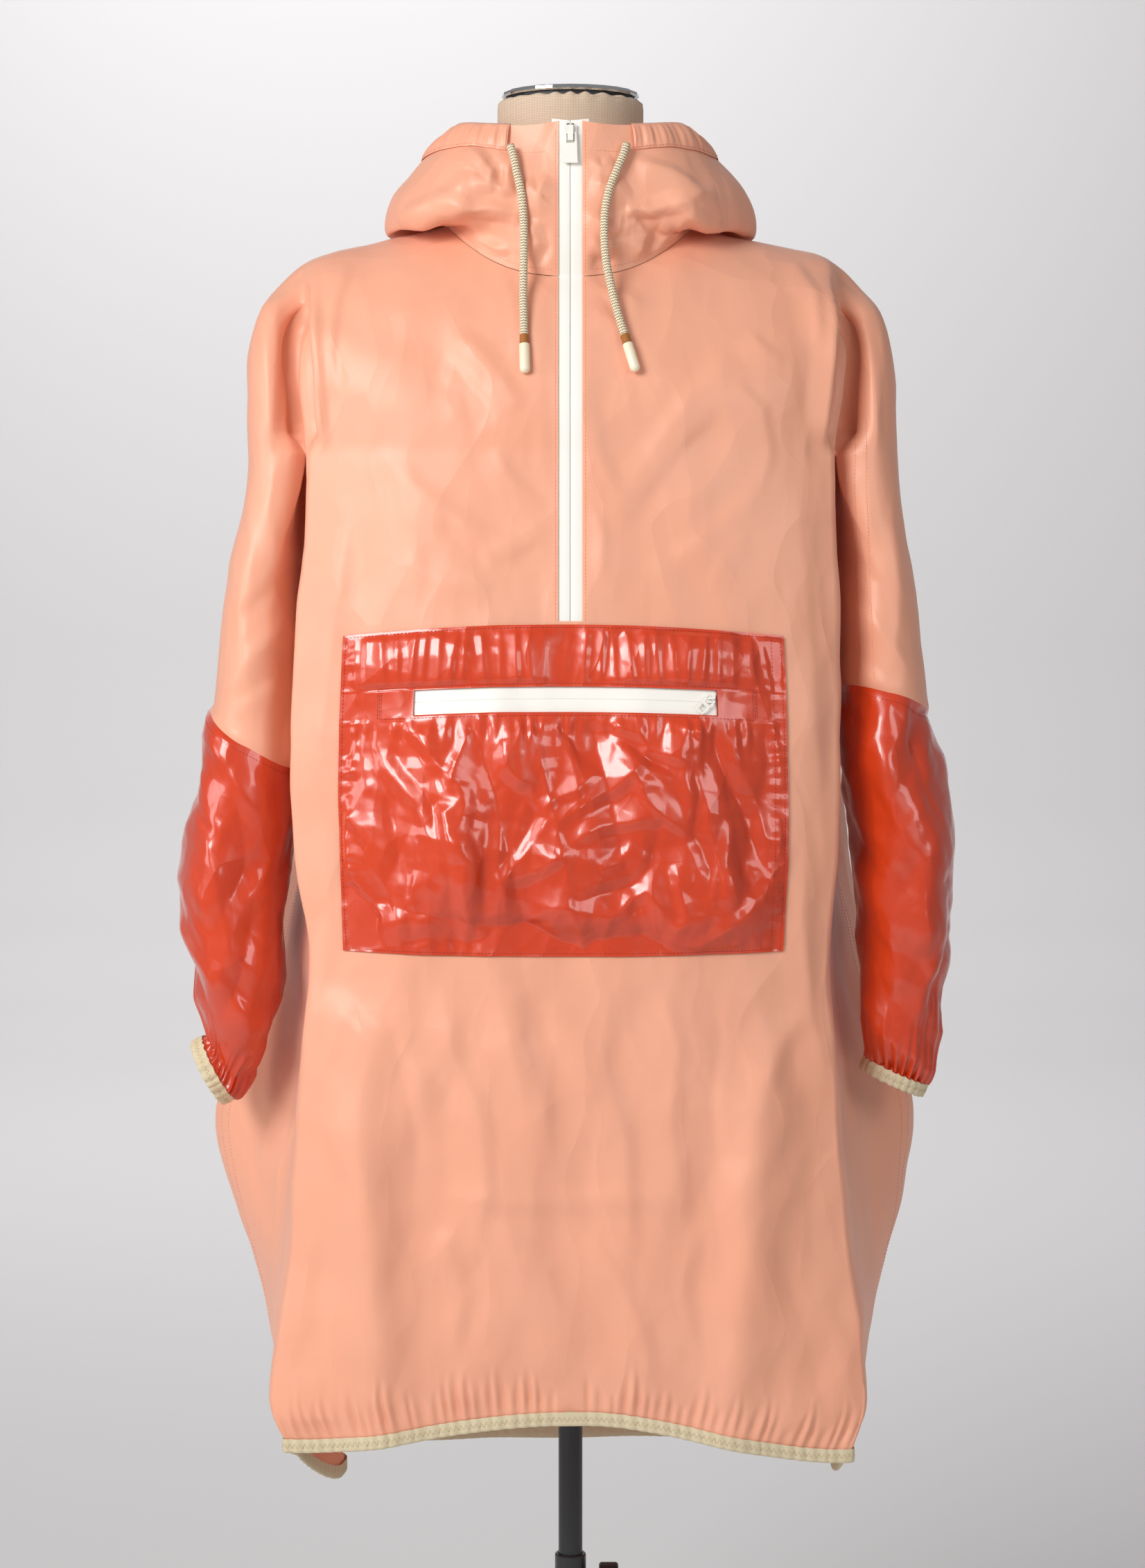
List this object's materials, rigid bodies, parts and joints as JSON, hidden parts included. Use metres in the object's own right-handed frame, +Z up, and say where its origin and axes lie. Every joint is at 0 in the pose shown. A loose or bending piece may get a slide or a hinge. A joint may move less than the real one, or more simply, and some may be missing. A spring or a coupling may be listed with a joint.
{
  "type": "hooded windbreaker on a dress form",
  "caption": "Oversize hooded half-zip windbreaker in peach nylon with glossy red lower sleeves and chest pocket, worn on a linen dress form on a pole stand.",
  "frame": {"origin": "centre of the round base's underside, on the pole's axis, on the floor", "axes": "+Z up, -Y towards the viewer of the garment's front, +X to the viewer's right"},
  "size_m": [0.6287, 0.3378, 1.5943],
  "materials": {
    "peach_nylon": "light peach nylon, semi-matt",
    "red_nylon": "glossy red coated nylon",
    "cream_elastic": "ribbed elastic binding, matt",
    "white_zip": "coated waterproof zip tape",
    "white_plastic": "moulded white slider and pull",
    "cream_cord": "braided cord, herringbone",
    "tan_wrap": "whipping thread",
    "cream_tip": "moulded cord tip",
    "linen": "natural linen cover",
    "chrome": "polished rim",
    "black_metal": "satin black powder coat",
    "black_plastic": "matt black moulding"
  },
  "bodies": {
    "stand": {"base": "black_metal", "tube": "black_metal"},
    "form": {"back": "peach_nylon", "front": "peach_nylon", "hood_left": "peach_nylon", "hood_right": "peach_nylon", "hood_casing": "peach_nylon", "sleeve_left": "red_nylon", "sleeve_right": "red_nylon", "pocket": "red_nylon", "cuff_binding_left": "cream_elastic", "cuff_binding_right": "cream_elastic", "hem_binding": "cream_elastic", "zip_tape_left": "white_zip", "zip_tape_right": "white_zip", "pocket_zip_tape": "white_zip", "zip_slider": "white_plastic", "pocket_slider": "white_plastic", "drawcord_left": "cream_cord", "drawcord_right": "cream_cord", "cord_wrap_left": "tan_wrap", "cord_wrap_right": "tan_wrap", "cord_tip_left": "cream_tip", "cord_tip_right": "cream_tip", "form_torso": "linen", "neck_cap": "black_plastic", "neck_rim": "chrome", "pole": "black_metal"},
    "knob": {"clamp_knob": "black_plastic"},
    "main_pull": {"zip_pull": "white_plastic"},
    "side_pull": {"pocket_pull": "white_plastic"}
  },
  "joints": [
    {"name": "height_slide", "type": "slide", "parent": "stand", "child": "form", "axis": [0, 0, 1], "range_m": [-0.12, 0.1]},
    {"name": "knob_turn", "type": "hinge", "parent": "stand", "child": "knob", "pos_m": [0.024, 0, 0.362], "axis": [1, 0, 0], "range_deg": [-180, 180]},
    {"name": "zip_pull_swing", "type": "hinge", "parent": "form", "child": "main_pull", "pos_m": [0, -0.08448, 1.54972], "axis": [-1, 0, 0], "range_deg": [0, 150]},
    {"name": "pocket_pull_swing", "type": "hinge", "parent": "form", "child": "side_pull", "pos_m": [0.10967, -0.14905, 1.10555], "axis": [-0.6763, -0.0065, 0.7366], "range_deg": [0, 80]}
  ]
}
